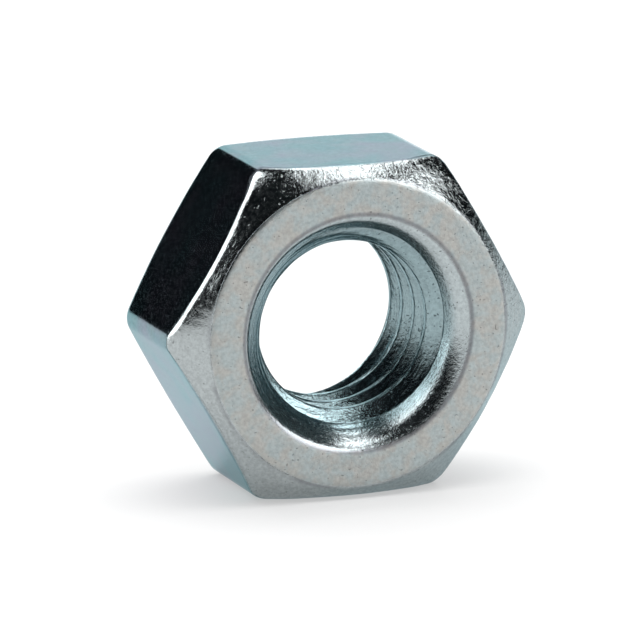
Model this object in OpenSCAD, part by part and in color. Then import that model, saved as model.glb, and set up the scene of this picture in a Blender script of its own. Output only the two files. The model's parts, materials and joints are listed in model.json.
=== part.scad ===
// Plain metric hex nut, one forged and tapped piece, standing on one of its six flats.
// The thread axis is Y and the face with the deeper countersink looks along -Y.
// The origin is on the thread axis, halfway through the nut.

/* [Hexagon] */
// Width across flats, the spanner size
across_flats = 13; // [12.73:0.01:13]
// Thickness along the thread axis
thickness = 6.5; // [6.14:0.01:6.8]
// Width across the blunted corners
across_corners = 14.76; // [14.38:0.02:14.96]

/* [Faces] */
// Diameter of the flat ring left on each face
bearing_face_d = 12; // [11.6:0.05:12.2]
// Chamfer angle of the front face, measured from the face
front_chamfer_angle = 45; // [20:1:50]
// Chamfer angle of the back face, measured from the face
back_chamfer_angle = 25; // [20:1:50]

/* [Thread] */
// Nominal thread diameter
thread_d = 8; // [8:0.05:8.2]
// Thread pitch
thread_pitch = 1.25; // [1:0.05:1.25]
// Depth below the front face of the middle of the first thread groove
first_groove_depth = 1.7; // [1.6:0.05:1.8]
// Mouth diameter of the front countersink
front_mouth_d = 9.2; // [8.4:0.05:9.3]
// Half angle of the front countersink, measured from the axis
front_mouth_half_angle = 38; // [30:1:60]
// Mouth diameter of the back countersink
back_mouth_d = 8.9; // [8.2:0.05:9.2]
// Half angle of the back countersink, measured from the axis
back_mouth_half_angle = 38; // [32:1:60]

/* [Hidden] */
$fn = 96;
overrun = 1;

// Basic 60 degree thread profile
thread_height = thread_pitch * cos(30);
minor_r = thread_d / 2 - 5 / 8 * thread_height;
root_flat = thread_pitch / 8;
groove_mouth = thread_pitch * 3 / 4;
groove_count = floor((thickness - first_groove_depth) / thread_pitch) + 1;

// Outer envelope
front = thickness / 2;
back = -thickness / 2;
face_r = bearing_face_d / 2;
corner_r = across_corners / 2;
sharp_corner_r = across_flats / 2 / cos(30);
front_drop = (corner_r - face_r) * tan(front_chamfer_angle);
back_drop = (corner_r - face_r) * tan(back_chamfer_angle);

// Countersinks
front_mouth_depth = (front_mouth_d / 2 - minor_r) / tan(front_mouth_half_angle);
back_mouth_depth = (back_mouth_d / 2 - minor_r) / tan(back_mouth_half_angle);

// Hexagonal bar, two of its flats square to Y
module hexagon_bar() {
    translate([0, 0, back]) cylinder(r = sharp_corner_r, h = thickness, $fn = 6);
}

// Body of revolution that blunts the bar's corners and chamfers it at both faces
module turned_envelope() {
    rotate_extrude()
        polygon([
            [0, back],
            [face_r, back],
            [corner_r, back + back_drop],
            [corner_r, front - front_drop],
            [face_r, front],
            [0, front]
        ]);
}

// Plain bore at the thread's minor diameter
module minor_bore() {
    translate([0, 0, back - overrun]) cylinder(r = minor_r, h = thickness + 2 * overrun);
}

// Cone that opens the bore at the face at height 0, narrowing downwards
module countersink(mouth_r, depth) {
    slope = (mouth_r - minor_r) / depth;
    rotate_extrude()
        polygon([
            [0, -depth],
            [minor_r, -depth],
            [mouth_r + slope * overrun, overrun],
            [0, overrun]
        ]);
}

// One V groove of the thread, centred on height 0
module thread_groove() {
    rotate_extrude()
        polygon([
            [0, -groove_mouth / 2],
            [minor_r, -groove_mouth / 2],
            [thread_d / 2, -root_flat / 2],
            [thread_d / 2, root_flat / 2],
            [minor_r, groove_mouth / 2],
            [0, groove_mouth / 2]
        ]);
}

// The nut in its own turning frame, thread axis along +Z and front face on top
module turned_nut() {
    difference() {
        intersection() {
            hexagon_bar();
            turned_envelope();
        }
        minor_bore();
        translate([0, 0, front]) countersink(front_mouth_d / 2, front_mouth_depth);
        translate([0, 0, back]) mirror([0, 0, 1]) countersink(back_mouth_d / 2, back_mouth_depth);
        for (i = [0 : groove_count - 1])
            translate([0, 0, front - first_groove_depth - i * thread_pitch]) thread_groove();
    }
}

module nut() {
    color("silver") rotate([90, 0, 0]) turned_nut();
}

nut();
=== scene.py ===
"""Looks of the zinc-plated hex nut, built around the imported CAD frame.

Lengths are in millimetres until a mesh or a light is made, which is in metres.
The thread axis is Y, the seen face looks along -Y and the nut stands on a flat.
An angle round the axis starts at +X and turns towards +Z.
"""

import json

import bpy
import numpy as np
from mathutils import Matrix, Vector


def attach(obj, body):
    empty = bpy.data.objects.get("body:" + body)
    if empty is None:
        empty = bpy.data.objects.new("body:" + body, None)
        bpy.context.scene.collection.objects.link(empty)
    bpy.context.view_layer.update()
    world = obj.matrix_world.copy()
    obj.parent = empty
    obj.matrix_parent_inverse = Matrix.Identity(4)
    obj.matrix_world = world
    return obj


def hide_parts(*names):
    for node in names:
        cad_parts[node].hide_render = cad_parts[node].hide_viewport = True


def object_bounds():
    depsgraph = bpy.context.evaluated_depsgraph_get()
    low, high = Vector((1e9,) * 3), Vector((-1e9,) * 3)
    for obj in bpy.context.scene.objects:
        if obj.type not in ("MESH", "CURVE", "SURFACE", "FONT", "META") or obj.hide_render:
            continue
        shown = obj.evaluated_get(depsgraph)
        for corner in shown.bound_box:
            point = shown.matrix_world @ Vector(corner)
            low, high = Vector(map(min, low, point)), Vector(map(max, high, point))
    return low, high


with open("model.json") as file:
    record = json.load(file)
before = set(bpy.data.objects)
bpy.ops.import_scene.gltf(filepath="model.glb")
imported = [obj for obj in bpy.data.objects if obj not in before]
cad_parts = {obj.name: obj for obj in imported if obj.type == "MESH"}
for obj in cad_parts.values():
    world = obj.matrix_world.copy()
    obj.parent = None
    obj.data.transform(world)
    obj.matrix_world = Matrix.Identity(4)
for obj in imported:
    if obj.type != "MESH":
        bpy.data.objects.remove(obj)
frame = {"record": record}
cad_low, cad_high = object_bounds()

MM = 0.001

# Sizes taken from the frame
LOW, HIGH = np.array(cad_low) / MM, np.array(cad_high) / MM
ACROSS_CORNERS, THICKNESS, ACROSS_FLATS = HIGH - LOW
HALF = THICKNESS / 2
THREAD = next(mount for mount in frame["record"]["mounts"] if mount["name"] == "thread")
MINOR_R = THREAD["dims"]["r_mm"]

# Sizes that repeat the CAD source
FACE_R = 6.0
FRONT_CHAMFER, BACK_CHAMFER = np.radians([45, 25])
FRONT_MOUTH_R, BACK_MOUTH_R = 4.6, 4.45
MOUTH_CONE = np.radians(38)
PITCH = 1.25
MAJOR_R = 4.06
FLANK_SLOPE = np.tan(np.radians(60))

# Radius of the six corners, from how far they fall short of a sharp hexagon's
HALF_SIDE_ANGLE = np.pi / 6
SHARP_CORNER_R = ACROSS_FLATS / 2 / np.cos(HALF_SIDE_ANGLE)
CORNER_ROUND = (SHARP_CORNER_R - ACROSS_CORNERS / 2) / (1 / np.cos(HALF_SIDE_ANGLE) - 1)

# Rounding of the edges
CORNER_EDGE_ROUND, FLAT_EDGE_ROUND = 0.35, 0.42
FACE_EDGE_ROUND = 0.4
MOUTH_ROUND, MOUTH_WORN_ROUND, WORN_ANGLE = 0.5, 1.15, np.radians(-18)
MOUTH_EDGE_OUT, MOUTH_EDGE_WAVE, WIDEST_ANGLE = 0.22, 0.06, np.radians(-95)

# How far the front chamfer stands off its cone: everywhere, at corners, to one side, at random
RISE, CORNER_RISE, SIDE_RISE, RANDOM_RISE = 0.014, 0.105, 0.07, 0.014
RISEN_SIDE, RISE_RUN_IN, RANDOM_RISE_LENGTH = np.radians(100), 0.9, 8.0

# Forging dents, height and wavelength
FINE_DENT, FINE_DENT_LENGTH = 0.002, 0.45
WIDE_DENT, WIDE_DENT_LENGTH = 0.004, 1.4

# Thread details, with the marks left by the tap
THREAD_BLEND = 0.05
FIRST_GROOVE = 1.0
TAP_MARK, TAP_MARK_LENGTH, TAP_HARMONICS = 0.008, 3.0, range(3, 8)
TAP_RUN_IN, TAP_FAINTEST = 0.6, 0.1

# Mesh density: columns round the axis, and rows of the bore and of each mouth
AROUND, CORNER_CROWDING = 396, 0.35
BORE_ROWS, MOUTH_ROWS = 150, 9
# Rows of the outside from front to back, with the crowding at the start and end of each stretch
FACE_ROWS, CHAMFER_ROWS, FLAT_ROWS = (12, 0.0, 0.9), (16, 0.6, 0.6), (34, 0.9, 0.9)
BACK_CHAMFER_ROWS, BACK_FACE_ROWS = (12, 0.6, 0.6), (12, 0.9, 0.0)
OUTSIDE_ROWS = (FACE_ROWS, CHAMFER_ROWS, FLAT_ROWS, BACK_CHAMFER_ROWS, BACK_FACE_ROWS)
# Each ray is searched up to this share of the way to the sharp outline, by so many halvings
RAY_END, RAY_HALVINGS = 1.3, 36

# Zinc tones, linear
FLAT_TEAL, FLAT_LILAC, FLAT_PALE = (0.20, 0.33, 0.348), (0.315, 0.30, 0.358), (0.285, 0.345, 0.352)
FACE_WARM, FACE_COOL = (0.42, 0.42, 0.40), (0.385, 0.435, 0.44)
# The bore's tone is darker than the cone's, as painted shade deep in the thread
CHAMFER_TONE, THREAD_PAINTED_SHADE_TONE, CONE_TONE = (0.39, 0.425, 0.43), (0.27, 0.36, 0.38), (0.42, 0.47, 0.48)
# The dark line colour paints shade on the bore's rim and also draws the line outside the face ring
DARK_LINE_AND_PAINTED_SHADE, EDGE_TINT = (0.12, 0.12, 0.14), (0.62, 0.75, 0.79, 1)
CHAMFER_ROUGH, FACE_ROUGH, FLAT_ROUGH, BORE_ROUGH = 0.14, 0.40, 0.13, 0.18

# Radii of the two dark lines: painted shade on the rim of the bore, and a line outside the face ring
RIM_SHADE_LINE, RIM_SHADE_DARKNESS = (4.5, 4.62, 4.66, 4.8), 0.6
RING_LINE, RING_DARKNESS = (5.98, 6.06, 6.08, 6.22), 0.45

# Relief of the zinc: millimetres for one, the share of each kind, and what is left on the flats
RELIEF = 0.012
GRAIN_RELIEF, SPECK_RELIEF, SCORE_RELIEF, FLAT_RELIEF = 0.5, 0.8, 2.2, 0.16

# Fineness of the tap's scoring, in cycles per radian round the bore and per millimetre along it
SCORE_LONG, SCORE_FINE = 3.0, 11.0

# Camera: viewing angles in degrees, and distance, shifts and lens in millimetres
VIEW_AZIMUTH, VIEW_ELEVATION, VIEW_DISTANCE = -20.887, 12.980, 333.0
SHIFT_RIGHT, SHIFT_UP = -0.338, -0.146
LENS, SENSOR = 487, 36

# Panels of light in metres: name, centre, width, height and radiance
HANGING_PANELS = (
    ("key_front", (0.165, -0.32, 0.5), 0.21, 0.12, 4.6),
    ("key", (0.19, 0.10, 0.5), 0.16, 0.62, 5.0),
    ("key_back", (-0.27, 0.145, 0.5), 0.26, 0.55, 4.2),
)
UPRIGHT_PANELS = (
    ("right_front", (0.33, -0.36, 0.2375), 0.40, 0.295, 4.2),
    ("left", (-0.5, 0.095, 0.205), 0.43, 0.39, 4.0),
    ("left_high", (-0.5, 0.045, 0.56), 0.53, 0.30, 4.0),
    ("back_right", (0.17, 0.46, 0.12), 0.30, 0.22, 1.2),
    ("back_high", (0.17, 0.46, 0.37), 0.30, 0.28, 1.8),
)
TABLE_PANEL = ("table", (0.08, 0.18, 0.51), 0.90, 0.90, 3.4)
SURROUNDINGS = (0.008, 0.010, 0.012, 1)

# Floor in metres: rings as (radius, height) outside its centre point, and its looks
FLOOR_RINGS = ((0.1, 0), (0.25, 0), (0.5, 0), (0.56, 0.006), (0.60, 0.022), (0.62, 0.045))
FLOOR_AROUND = 96
FLOOR_GREY, FLOOR_GLOW, FLOOR_ROUGH = 0.45, 0.45, 0.9


def smooth_waves(points, wavelength, seed, count=48):
    """Smooth random field of about unit size, a sum of plane waves near one wavelength."""
    rng = np.random.default_rng(seed)
    directions = rng.normal(size=(count, 3))
    directions /= np.linalg.norm(directions, axis=1)[:, None]
    numbers = 2 * np.pi / wavelength * rng.uniform(0.6, 1.5, count)
    phases = rng.uniform(0, 2 * np.pi, count)
    total = np.zeros(points.shape[:-1])
    for direction, number, phase in zip(directions, numbers, phases):
        total += np.cos(points @ (direction * number) + phase)
    return total * np.sqrt(2 / count)


def rounded_and(a, b, radius, turn):
    """Signed distance of the overlap of two solids whose common edge turns by an angle and is rounded."""
    # Depth below one side at which the arc meets the other, which is the radius on a square edge
    reach = radius * np.tan(turn / 2) * np.sin(turn)
    corner = np.hypot(np.maximum(a + reach, 0), np.maximum(b + reach, 0))
    return np.minimum(np.maximum(a, b), -reach) + corner


def smooth_max(a, b, width):
    """The larger of two values, with the change between them blended over a width."""
    mix = np.clip(0.5 + (a - b) / (2 * width), 0, 1)
    return a * mix + b * (1 - mix) + width * mix * (1 - mix)


def hexagon_distance(x, z):
    """Signed distance to the hexagon with rounded corners, flats square to Z."""
    apothem = ACROSS_FLATS / 2 - CORNER_ROUND
    x, z = np.abs(x), np.abs(z)
    slant_x, slant_z = np.cos(HALF_SIDE_ANGLE), np.sin(HALF_SIDE_ANGLE)
    over = np.maximum(x * slant_x + z * slant_z - apothem, z - apothem)
    # Outside, measure to the nearest point of the inner hexagon's two near sides
    reach = apothem * np.tan(HALF_SIDE_ANGLE)
    top = np.hypot(x - np.clip(x, 0, reach), z - apothem)
    along = np.clip(-x * slant_z + z * slant_x, -reach, reach)
    side_x = apothem * slant_x - along * slant_z
    side_z = apothem * slant_z + along * slant_x
    side = np.hypot(x - side_x, z - side_z)
    return np.where(over > 0, np.minimum(top, side), over) - CORNER_ROUND


def cone_distance(rho, depth, angle):
    """Signed distance to a face's chamfer cone, depth being measured from that face."""
    return (rho - FACE_R) * np.sin(angle) - depth * np.cos(angle)


def front_rise(points, rho, angle):
    """Height of the front chamfer over its cone, which grows from the face ring outwards."""
    height = RISE + CORNER_RISE * np.cos(6 * angle) + SIDE_RISE * np.cos(angle - RISEN_SIDE)
    height += RANDOM_RISE * smooth_waves(points, RANDOM_RISE_LENGTH, seed=11)
    return height * np.clip((rho - FACE_R) / RISE_RUN_IN, 0, 1)


def forging_dents(points):
    """Shallow dents of two sizes."""
    fine = FINE_DENT * smooth_waves(points, FINE_DENT_LENGTH, seed=12, count=64)
    return fine + WIDE_DENT * smooth_waves(points, WIDE_DENT_LENGTH, seed=13)


def outer_distance(x, y, z):
    """Signed distance to the outside of the nut, without the bore."""
    rho, angle = np.hypot(x, z), np.arctan2(z, x)
    points = np.stack([x, y, z], axis=-1)
    at_corner = (1 + np.cos(6 * angle)) / 2
    edge_round = FLAT_EDGE_ROUND + (CORNER_EDGE_ROUND - FLAT_EDGE_ROUND) * at_corner
    dents = forging_dents(points)
    front = cone_distance(rho, y + HALF, FRONT_CHAMFER) - front_rise(points, rho, angle) + dents
    back = cone_distance(rho, HALF - y, BACK_CHAMFER) + dents
    body = hexagon_distance(x, z)
    body = rounded_and(body, front, edge_round, np.pi / 2 - FRONT_CHAMFER)
    body = rounded_and(body, back, edge_round, np.pi / 2 - BACK_CHAMFER)
    body = rounded_and(body, -y - HALF, FACE_EDGE_ROUND, FRONT_CHAMFER)
    return rounded_and(body, y - HALF, FACE_EDGE_ROUND, BACK_CHAMFER)


def mouth_round(angle):
    """Rounding of the bore's mouth, which is worn wider to one side."""
    worn = ((1 + np.cos(angle - WORN_ANGLE)) / 2) ** 2
    return MOUTH_ROUND + (MOUTH_WORN_ROUND - MOUTH_ROUND) * worn


def mouth_edge(mouth_r, angle):
    """Radius at which the mouth's rounding meets the face, a little off centre."""
    return mouth_r + MOUTH_EDGE_OUT + MOUTH_EDGE_WAVE * np.cos(angle - WIDEST_ANGLE)


def lead_in(depth, mouth_r, angle):
    """Radius of a countersink below its rounding."""
    corner = mouth_edge(mouth_r, angle) - mouth_round(angle) * np.tan((np.pi / 2 - MOUTH_CONE) / 2)
    return corner - depth * np.tan(MOUTH_CONE)


def bore_radius(y, angle):
    """Radius of the bore wall: a right-hand 60 degree thread opened by two countersinks."""
    depth = y + HALF
    phase = (depth - FIRST_GROOVE + PITCH * angle / (2 * np.pi)) / PITCH
    off_centre = np.abs(phase - np.round(phase)) * PITCH
    # The groove's bottom is flat for an eighth of the pitch
    flank = MAJOR_R - (off_centre - PITCH / 16) * FLANK_SLOPE
    groove = -smooth_max(-flank, np.full_like(flank, -MAJOR_R), THREAD_BLEND)
    wall = smooth_max(groove, np.full_like(groove, MINOR_R), THREAD_BLEND)
    wall = smooth_max(wall, lead_in(depth, FRONT_MOUTH_R, angle), THREAD_BLEND)
    wall = smooth_max(wall, lead_in(THICKNESS - depth, BACK_MOUTH_R, angle), THREAD_BLEND)
    return wall + tap_marks(wall, y, angle, phase)


def tap_marks(wall, y, angle, phase):
    """Height of the tap's marks, which follow the thread as harmonics of its pitch."""
    place = np.stack([wall * np.cos(angle), y, wall * np.sin(angle)], axis=-1)
    from_end = HALF - np.abs(y)
    inside = np.clip((from_end - TAP_RUN_IN) / TAP_RUN_IN, TAP_FAINTEST, 1)
    marks = np.zeros_like(wall)
    for harmonic in TAP_HARMONICS:
        strength = 0.5 + 0.5 * smooth_waves(place, TAP_MARK_LENGTH, seed=20 + harmonic, count=24)
        marks += strength * np.cos(2 * np.pi * harmonic * phase + harmonic**2)
    return TAP_MARK * inside * marks


def mouth_arc(mouth_r, side, angles):
    """Radius and y of the rounded mouth of the bore, from the countersink to the face."""
    tilt = np.linspace(np.pi / 2 - MOUTH_CONE, 0, MOUTH_ROWS)
    radius = mouth_round(angles)[:, None]
    rho = mouth_edge(mouth_r, angles)[:, None] - radius * np.sin(tilt)
    return rho, side * (HALF - radius * (1 - np.cos(tilt)))


def row_shares(rows, crowd_start, crowd_end):
    """Shares of a stretch at its rows, crowded towards either end.

    Crowding over about 0.6 makes the rows run a little past that end and back again.
    """
    t = np.linspace(0, 1, rows)
    return t - crowd_start * t * (1 - t) ** 2 * 2 + crowd_end * t**2 * (1 - t) * 2


def section_targets(angle, front_mouth, back_mouth):
    """Points (rho, y) on the sharp outline of the section at one angle, from front to back."""
    from_corner = (angle + HALF_SIDE_ANGLE) % (2 * HALF_SIDE_ANGLE) - HALF_SIDE_ANGLE
    from_flat = HALF_SIDE_ANGLE - abs(from_corner)
    hexagon_r = min(ACROSS_FLATS / 2 / np.cos(from_flat), ACROSS_CORNERS / 2)
    front_depth = (hexagon_r - FACE_R) * np.tan(FRONT_CHAMFER)
    back_depth = (hexagon_r - FACE_R) * np.tan(BACK_CHAMFER)
    knots = np.array(
        [
            (front_mouth, -HALF),
            (FACE_R, -HALF),
            (hexagon_r, -HALF + front_depth),
            (hexagon_r, HALF - back_depth),
            (FACE_R, HALF),
            (back_mouth, HALF),
        ]
    )
    rows = [knots[:1]]
    for density, start, end in zip(OUTSIDE_ROWS, knots, knots[1:]):
        rows.append(start + (end - start) * row_shares(*density)[1:, None])
    return np.vstack(rows)


def nut_surface():
    """Grid of points (angle, row, xyz) over the closed surface, row 0 at the front of the bore."""
    angles = 2 * np.pi * np.arange(AROUND) / AROUND
    angles = angles - CORNER_CROWDING / 6 * np.sin(6 * angles)
    cos_a, sin_a = np.cos(angles)[:, None], np.sin(angles)[:, None]
    front_rho, front_y = mouth_arc(FRONT_MOUTH_R, -1, angles)
    back_rho, back_y = mouth_arc(BACK_MOUTH_R, 1, angles)

    bore_y = np.linspace(front_y[:, 0], back_y[:, 0], BORE_ROWS, axis=1)
    bore_rho = bore_radius(bore_y, np.broadcast_to(angles[:, None], bore_y.shape))

    # Rays start inside the metal at half height and search for the surface by halving
    core_r = (FRONT_MOUTH_R + FACE_R) / 2
    mouths = zip(angles, front_rho[:, -1], back_rho[:, -1])
    rays = np.array([section_targets(*mouth) for mouth in mouths]) - np.array([core_r, 0])
    near, far = np.zeros(rays.shape[:2]), np.full(rays.shape[:2], RAY_END)
    for _ in range(RAY_HALVINGS):
        middle = (near + far) / 2
        rho = core_r + rays[..., 0] * middle
        outside = outer_distance(rho * cos_a, rays[..., 1] * middle, rho * sin_a) > 0
        near, far = np.where(outside, near, middle), np.where(outside, middle, far)
    outer_rho = core_r + rays[..., 0] * near
    outer_y = rays[..., 1] * near

    # Bore from front to back, back mouth, outside from back to front, front mouth
    rho = [bore_rho, back_rho, outer_rho[:, ::-1], front_rho[:, ::-1]]
    y = [bore_y, back_y, outer_y[:, ::-1], front_y[:, ::-1]]
    rho, y = (np.hstack([part[:, :-1] for part in parts]) for parts in (rho, y))
    return np.stack([rho * cos_a, y, rho * sin_a], axis=-1)


def grid_mesh(name, points):
    """Closed quad mesh from a grid that wraps round in both directions."""
    columns, rows = points.shape[:2]
    index = np.arange(columns * rows).reshape(columns, rows)
    right = np.roll(index, -1, axis=0)
    quads = np.stack([index, right, np.roll(right, -1, axis=1), np.roll(index, -1, axis=1)], axis=-1)
    mesh = bpy.data.meshes.new(name)
    mesh.from_pydata((points.reshape(-1, 3) * MM).tolist(), [], quads.reshape(-1, 4).tolist())
    mesh.shade_smooth()
    mesh.update()
    return mesh


def add_object(name, data):
    """New object in the scene that shows a mesh, a light or a camera."""
    thing = bpy.data.objects.new(name, data)
    bpy.context.scene.collection.objects.link(thing)
    return thing


def make_camera():
    """Long lens from the front left and a little above."""
    azimuth, elevation = np.radians([VIEW_AZIMUTH, VIEW_ELEVATION])
    level = np.cos(elevation)
    back = Vector((np.sin(azimuth) * level, -np.cos(azimuth) * level, np.sin(elevation)))
    right = Vector((np.cos(azimuth), np.sin(azimuth), 0))
    aim = right * SHIFT_RIGHT + back.cross(right) * SHIFT_UP
    lens = bpy.data.cameras.new("camera")
    lens.sensor_width = SENSOR
    lens.lens = LENS
    lens.clip_start, lens.clip_end = 0.01, 10
    camera = add_object("camera", lens)
    camera.rotation_mode = "QUATERNION"
    camera.rotation_quaternion = (-back).to_track_quat("-Z", "Y")
    camera.location = (aim + back * VIEW_DISTANCE) * MM
    bpy.context.scene.camera = camera


class Graph:
    """A material, with short calls that add its nodes."""

    def __init__(self, name):
        self.material = bpy.data.materials.new(name)
        self.material.use_nodes = True
        self.nodes = self.material.node_tree.nodes
        self.links = self.material.node_tree.links
        self.shader = self.nodes["Principled BSDF"]

    def put(self, socket, value):
        """Link an output to an input socket, or set the socket to a number."""
        if hasattr(value, "is_output"):
            self.links.new(value, socket)
        else:
            socket.default_value = value

    def math(self, operation, *values):
        """Result of a Math node."""
        node = self.nodes.new("ShaderNodeMath")
        node.operation = operation
        for socket, value in zip(node.inputs, values):
            self.put(socket, value)
        return node.outputs[0]

    def plus(self, a, b):
        """Sum of two values."""
        return self.math("ADD", a, b)

    def minus(self, a, b):
        """Difference of two values."""
        return self.math("SUBTRACT", a, b)

    def times(self, a, b):
        """Product of two values."""
        return self.math("MULTIPLY", a, b)

    def scale(self, vector, factor):
        """Vector or colour times a number."""
        node = self.nodes.new("ShaderNodeVectorMath")
        node.operation = "SCALE"
        self.put(node.inputs[0], vector)
        self.put(node.inputs["Scale"], factor)
        return node.outputs["Vector"]

    def xyz(self, vector):
        """The three components of a vector."""
        node = self.nodes.new("ShaderNodeSeparateXYZ")
        self.put(node.inputs[0], vector)
        return node.outputs

    def along_thread(self, x, y, z, rho):
        """Coordinates that are fine along the bore and long round it."""
        node = self.nodes.new("ShaderNodeCombineXYZ")
        for axis, value in (("X", x), ("Z", z)):
            self.put(node.inputs[axis], self.times(self.math("DIVIDE", value, rho), SCORE_LONG))
        self.put(node.inputs["Y"], self.times(y, SCORE_FINE))
        return node.outputs[0]

    def ramp(self, value, low, high, to_low=0.0, to_high=1.0):
        """Smooth step of a value between two limits."""
        node = self.nodes.new("ShaderNodeMapRange")
        node.interpolation_type = "SMOOTHSTEP"
        for socket, number in zip(node.inputs, (value, low, high, to_low, to_high)):
            self.put(socket, number)
        return node.outputs[0]

    def band(self, value, start, full, fade, end):
        """One from full to fade, falling smoothly to zero at start and end."""
        return self.times(self.ramp(value, start, full), self.ramp(value, end, fade))

    def noise(self, vector, scale, detail=2.0, roughness=0.5, distortion=0.0):
        """Noise value, with its scale in cycles per unit of the vector."""
        node = self.nodes.new("ShaderNodeTexNoise")
        self.put(node.inputs["Vector"], vector)
        node.inputs["Scale"].default_value = scale
        node.inputs["Detail"].default_value = detail
        node.inputs["Roughness"].default_value = roughness
        node.inputs["Distortion"].default_value = distortion
        return node.outputs[0]

    def mix(self, share, a, b):
        """Colour between a and b."""
        node = self.nodes.new("ShaderNodeMix")
        node.data_type = "RGBA"
        self.put(node.inputs[0], share)
        for socket, value in zip(node.inputs[6:8], (a, b)):
            self.put(socket, value if hasattr(value, "is_output") else (*value, 1))
        return node.outputs[2]

    def blend(self, share, a, b):
        """Number between a and b."""
        return self.math("MULTIPLY_ADD", share, self.minus(b, a), a)

    def bump(self, height, distance):
        """Normal of a relief, with the distance in millimetres for a height of one."""
        node = self.nodes.new("ShaderNodeBump")
        node.inputs["Strength"].default_value = 1
        node.inputs["Distance"].default_value = distance * MM
        self.put(node.inputs["Height"], height)
        return node.outputs[0]


def zinc_material():
    """Bright zinc with a thin blue passivation: teal and lilac flats, a matt greyer face."""
    g = Graph("zinc_passivated")
    coords = g.nodes.new("ShaderNodeTexCoord")
    place = g.scale(coords.outputs["Object"], 1 / MM)
    x, y, z = g.xyz(place)
    rho = g.math("SQRT", g.plus(g.times(x, x), g.times(z, z)))
    facing = g.math("ABSOLUTE", g.xyz(coords.outputs["Normal"])[1])

    # Masks of the nut's regions, one inside and zero outside
    outside = g.ramp(rho, FRONT_MOUTH_R - 0.1, FRONT_MOUTH_R + 0.05)
    face = g.times(outside, g.ramp(facing, 0.88, 0.985))
    flat = g.times(outside, g.ramp(facing, 0.45, 0.15))
    chamfer = g.times(outside, g.minus(1.0, g.math("MAXIMUM", face, flat)))
    bore = g.minus(1.0, outside)
    threaded = g.times(bore, g.ramp(g.math("ABSOLUTE", y), HALF - 0.5, HALF - 1.3))
    upper_right = g.plus(x, z)

    cloud = g.noise(place, 0.38, 2, 0.5, 0.4)
    patch = g.noise(place, 1.6, 3, 0.6, 0.3)
    mottle = g.noise(place, 7, 3, 0.65)
    grain = g.noise(place, 16, 2, 0.6)
    specks = g.ramp(g.noise(place, 9, 1, 0.4), 0.70, 0.76)
    pits = g.ramp(g.noise(place, 4.2, 3, 0.7, 0.6), 0.35, 0.65)
    scored = g.noise(g.along_thread(x, y, z, rho), 1, 3, 0.65)

    # Tone: each region's own with painted shade deep in the bore, two dark lines of which the rim's is
    # painted shade, and darker specks
    flat_tone = g.mix(g.ramp(cloud, 0.34, 0.66), FLAT_TEAL, FLAT_LILAC)
    flat_tone = g.mix(g.ramp(patch, 0.4, 0.7, 0, 0.5), flat_tone, FLAT_PALE)
    face_tone = g.mix(g.ramp(patch, 0.35, 0.65), FACE_WARM, FACE_COOL)
    # Painted shade: the thread inside 3.8 mm takes the darker bore tone, the countersink the lighter cone
    # tone
    bore_tone_with_painted_shade = g.mix(g.ramp(rho, 3.8, 4.2), THREAD_PAINTED_SHADE_TONE, CONE_TONE)
    tone = g.mix(face, CHAMFER_TONE, face_tone)
    tone = g.mix(flat, tone, flat_tone)
    tone = g.mix(bore, tone, bore_tone_with_painted_shade)
    # Painted shade: a dark line round the rim of the bore's mouth
    rim = g.band(rho, *RIM_SHADE_LINE)
    ring = g.times(g.band(rho, *RING_LINE), g.times(g.ramp(facing, 0.6, 0.8), g.ramp(cloud, 0.35, 0.6)))
    lines = g.plus(g.times(rim, RIM_SHADE_DARKNESS), g.times(ring, RING_DARKNESS))
    tone = g.mix(lines, tone, DARK_LINE_AND_PAINTED_SHADE)
    darker = g.times(g.ramp(mottle, 0.3, 0.7, 0.86, 1.1), g.ramp(specks, 0, 1, 1, 0.62))
    g.put(g.shader.inputs["Base Color"], g.scale(tone, darker))

    g.shader.inputs["Metallic"].default_value = 1.0
    g.shader.inputs["Specular Tint"].default_value = EDGE_TINT
    rough = g.blend(face, CHAMFER_ROUGH, FACE_ROUGH)
    rough = g.blend(flat, rough, FLAT_ROUGH)
    rough = g.blend(bore, rough, BORE_ROUGH)
    g.put(g.shader.inputs["Roughness"], g.plus(rough, g.ramp(mottle, 0.3, 0.7, -0.04, 0.06)))

    # Relief: grain all over, scoring in the thread, and pits on the upper right of the chamfer
    height = g.minus(g.plus(g.times(grain, GRAIN_RELIEF), mottle), g.times(specks, SPECK_RELIEF))
    height = g.times(height, g.blend(flat, 1.0, FLAT_RELIEF))
    height = g.times(height, g.blend(chamfer, 1.0, g.ramp(upper_right, 1.0, 5.0, 0.5, 1.0)))
    height = g.plus(height, g.times(threaded, g.times(scored, SCORE_RELIEF)))
    pitted = g.times(chamfer, g.ramp(upper_right, 4.0, 7.5, 0.08, 0.75))
    height = g.plus(height, g.times(pits, pitted))
    g.put(g.shader.inputs["Normal"], g.bump(height, RELIEF))
    return g.material


def softbox(name, centre, wide, high, radiance, hanging):
    """Rectangular light that hangs and shines down, or stands upright and shines level at the nut."""
    light = bpy.data.lights.new(name, "AREA")
    light.shape = "RECTANGLE"
    light.size, light.size_y = wide, high
    light.energy = radiance * np.pi * wide * high
    lamp = add_object(name, light)
    lamp.location = centre
    lamp.rotation_mode = "QUATERNION"
    away = Vector((0, 0, 1)) if hanging else Vector((centre[0], centre[1], 0))
    lamp.rotation_quaternion = away.to_track_quat("Z", "Y")
    return lamp


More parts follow.
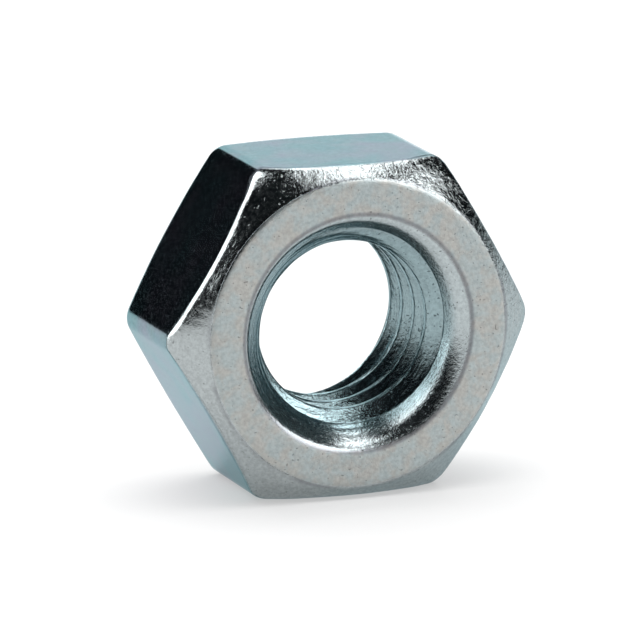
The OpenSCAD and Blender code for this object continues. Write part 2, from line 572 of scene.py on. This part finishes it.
def pale_floor():
    """Round pale table that curls up a little at its far rim."""
    verts = [(0, 0, 0)]
    for radius, height in FLOOR_RINGS:
        for k in range(FLOOR_AROUND):
            angle = 2 * np.pi * k / FLOOR_AROUND
            verts.append((radius * np.cos(angle), radius * np.sin(angle), height))
    faces = [(0, 1 + k, 1 + (k + 1) % FLOOR_AROUND) for k in range(FLOOR_AROUND)]
    for inner in range(1, 1 + FLOOR_AROUND * (len(FLOOR_RINGS) - 1), FLOOR_AROUND):
        outer = inner + FLOOR_AROUND
        for k in range(FLOOR_AROUND):
            after = (k + 1) % FLOOR_AROUND
            faces.append((inner + k, outer + k, outer + after, inner + after))
    mesh = bpy.data.meshes.new("floor")
    mesh.from_pydata(verts, [], faces)
    mesh.shade_smooth()
    floor = add_object("floor", mesh)
    floor.location.z = cad_low.z
    mesh.materials.append(floor_material())
    return floor


def floor_material():
    """Dull pale grey with a little glow of its own."""
    g = Graph("pale_floor")
    g.shader.inputs["Base Color"].default_value = (FLOOR_GREY, FLOOR_GREY, FLOOR_GREY, 1)
    g.shader.inputs["Emission Color"].default_value = (1, 1, 1, 1)
    g.shader.inputs["Emission Strength"].default_value = FLOOR_GLOW
    g.shader.inputs["Roughness"].default_value = FLOOR_ROUGH
    g.shader.inputs["Specular IOR Level"].default_value = 0
    return g.material


nut = add_object("hex_nut", grid_mesh("hex_nut", nut_surface()))
nut.data.materials.append(zinc_material())
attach(nut, "root")
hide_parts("nut")

# The nut's panels light only the nut, so that the floor keeps one soft shadow right under it
nut_only, floor_only = bpy.data.collections.new("nut_only"), bpy.data.collections.new("floor_only")
nut_only.objects.link(nut)
floor_only.objects.link(pale_floor())
for panels, hanging in ((HANGING_PANELS, True), (UPRIGHT_PANELS, False)):
    for panel in panels:
        softbox(*panel, hanging).light_linking.receiver_collection = nut_only
softbox(*TABLE_PANEL, hanging=True).light_linking.receiver_collection = floor_only

world = bpy.data.worlds.new("studio")
world.use_nodes = True
world.node_tree.nodes["Background"].inputs["Color"].default_value = SURROUNDINGS
bpy.context.scene.world = world
bpy.context.scene.view_settings.view_transform = "Standard"
make_camera()
